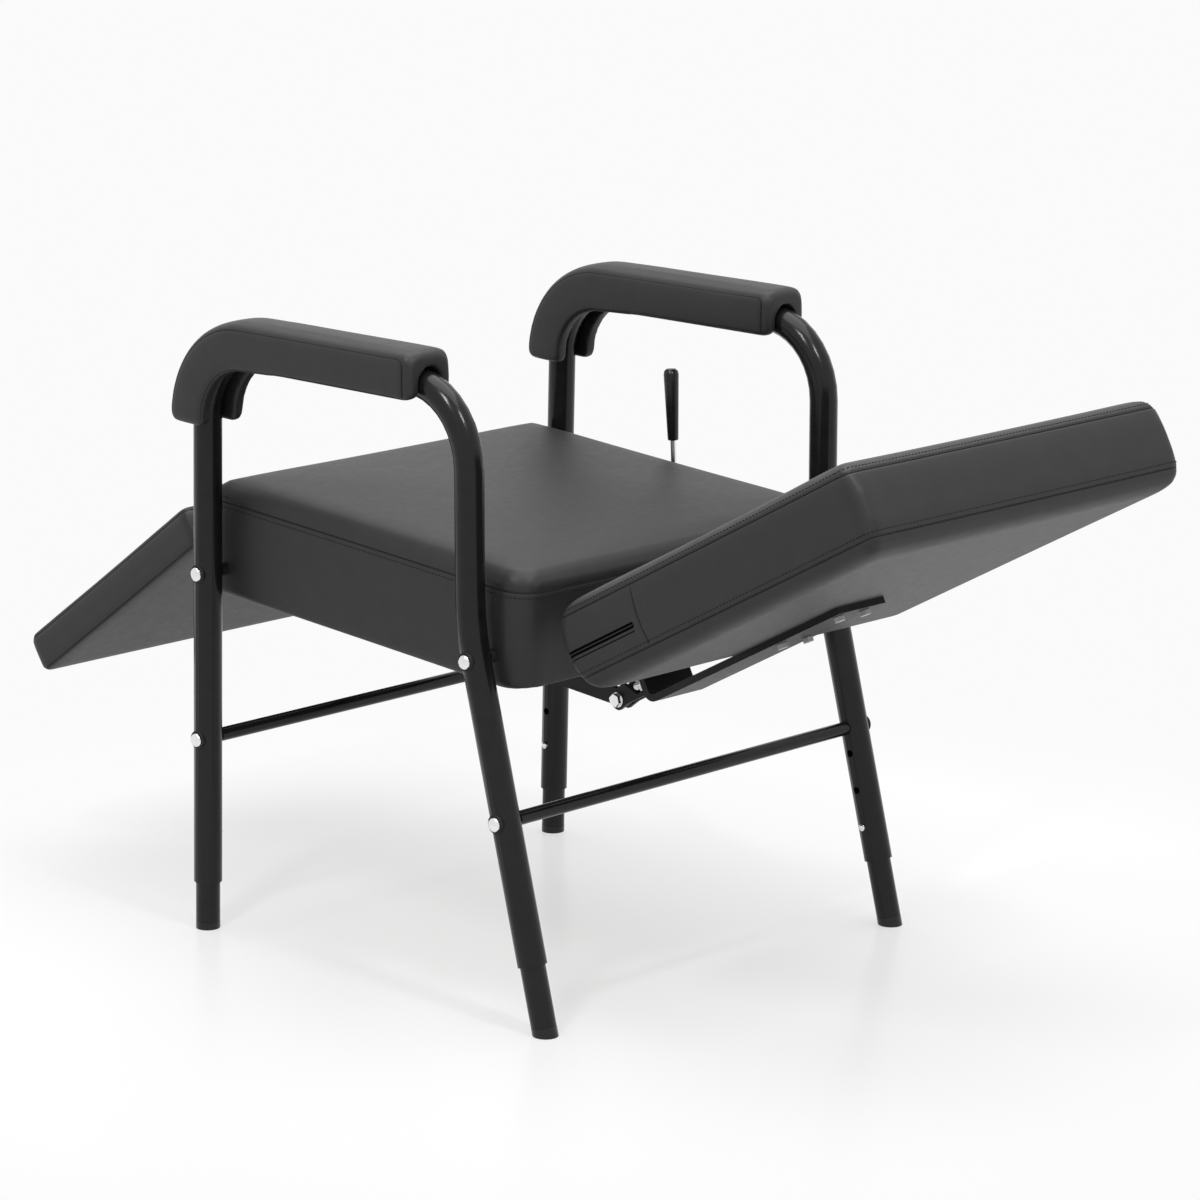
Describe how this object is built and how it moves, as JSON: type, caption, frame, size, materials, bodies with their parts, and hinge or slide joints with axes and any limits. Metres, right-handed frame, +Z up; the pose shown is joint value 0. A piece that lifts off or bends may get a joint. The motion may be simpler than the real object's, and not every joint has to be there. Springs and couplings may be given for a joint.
{
  "type": "reclining shampoo chair",
  "caption": "Reclining salon shampoo chair with padded arms on bent tube side frames, a box seat, and a backrest and legrest that tilt together on a push rod.",
  "frame": {"origin": "on the floor, under the middle of the chair's box", "axes": "+Z up, the chair faces -Y, +X is the sitter's left"},
  "size_m": [0.614, 1.2998, 0.7085],
  "materials": {
    "black_paint": "satin black powder coat",
    "chrome": "bright plated",
    "black_leatherette": "fine-grained, semi-matt",
    "plywood": "raw",
    "black_plastic": "semi-gloss moulded",
    "zinc_steel": "zinc plated"
  },
  "bodies": {
    "chair": {"left_side_frame": "black_paint", "right_side_frame": "black_paint", "front_left_leg_end": "black_paint", "front_right_leg_end": "black_paint", "rear_left_leg_end": "black_paint", "rear_right_leg_end": "black_paint", "front_left_floor_cap": "black_plastic", "front_right_floor_cap": "black_plastic", "rear_left_floor_cap": "black_plastic", "rear_right_floor_cap": "black_plastic", "front_crossbar": "black_paint", "rear_crossbar": "black_paint", "front_upper_left_bolt": "chrome", "front_upper_right_bolt": "chrome", "front_lower_left_bolt": "chrome", "front_lower_right_bolt": "chrome", "rear_upper_left_bolt": "chrome", "rear_upper_right_bolt": "chrome", "rear_lower_left_bolt": "chrome", "rear_lower_right_bolt": "chrome", "front_upper_left_spacer": "zinc_steel", "front_upper_right_spacer": "zinc_steel", "rear_upper_left_spacer": "zinc_steel", "rear_upper_right_spacer": "zinc_steel", "left_arm_pad": "black_leatherette", "right_arm_pad": "black_leatherette", "seat_cushion": "black_leatherette", "seat_board": "plywood", "seat_frame": "black_paint", "left_back_hinge_pin": "zinc_steel", "right_back_hinge_pin": "zinc_steel", "left_legrest_hinge_pin": "zinc_steel", "right_legrest_hinge_pin": "zinc_steel", "outer_lever_bearing": "black_paint", "inner_lever_bearing": "black_paint"},
    "back": {"backrest_cushion": "black_leatherette", "backrest_board": "plywood", "left_back_hinge": "black_paint", "right_back_hinge": "black_paint", "back_bracket": "black_paint", "back_bracket_bolt_left_1": "zinc_steel", "back_bracket_bolt_left_2": "zinc_steel", "back_bracket_bolt_right_1": "zinc_steel", "back_bracket_bolt_right_2": "zinc_steel", "back_clevis_bolt": "chrome"},
    "legrest": {"legrest_cushion": "black_leatherette", "legrest_board": "plywood", "left_legrest_hinge": "black_paint", "right_legrest_hinge": "black_paint", "legrest_bracket": "black_paint", "legrest_clevis_bolt": "chrome"},
    "rod": {"push_rod": "black_paint"},
    "lever": {"lever_rod": "chrome", "lever_grip": "black_plastic", "lock_pawl": "zinc_steel"},
    "front_left_button": {"front_left_snap_button": "chrome"},
    "front_right_button": {"front_right_snap_button": "chrome"},
    "rear_left_button": {"rear_left_snap_button": "chrome"},
    "rear_right_button": {"rear_right_snap_button": "chrome"}
  },
  "joints": [
    {"name": "recline", "type": "hinge", "parent": "chair", "child": "back", "pos_m": [0, 0.19303, 0.42], "axis": [1, 0, 0], "range_deg": [0, 42]},
    {"name": "legrest_swing", "type": "hinge", "parent": "chair", "child": "legrest", "pos_m": [0, -0.33197, 0.462], "axis": [1, 0, 0], "range_deg": [0, 42]},
    {"name": "rod_pivot", "type": "hinge", "parent": "back", "child": "rod", "pos_m": [0, 0.08653, 0.287], "axis": [1, 0, 0], "range_deg": [-42, 0]},
    {"name": "lever_pull", "type": "hinge", "parent": "chair", "child": "lever", "pos_m": [-0.262, -0.08297, 0.352], "axis": [-1, 0, 0], "range_deg": [0, 22], "stiffness_Nm_per_rad": 4},
    {"name": "front_left_button_press", "type": "slide", "parent": "chair", "child": "front_left_button", "axis": [1, 0, 0], "range_m": [0, 0.004], "stiffness_N_per_m": 800},
    {"name": "front_right_button_press", "type": "slide", "parent": "chair", "child": "front_right_button", "axis": [-1, 0, 0], "range_m": [0, 0.004], "stiffness_N_per_m": 800},
    {"name": "rear_left_button_press", "type": "slide", "parent": "chair", "child": "rear_left_button", "axis": [1, 0, 0], "range_m": [0, 0.004], "stiffness_N_per_m": 800},
    {"name": "rear_right_button_press", "type": "slide", "parent": "chair", "child": "rear_right_button", "axis": [-1, 0, 0], "range_m": [0, 0.004], "stiffness_N_per_m": 800}
  ],
  "couplings": [
    {"joint": "legrest_swing", "follows": "recline", "ratio": 1},
    {"joint": "rod_pivot", "follows": "recline", "ratio": -1}
  ]
}
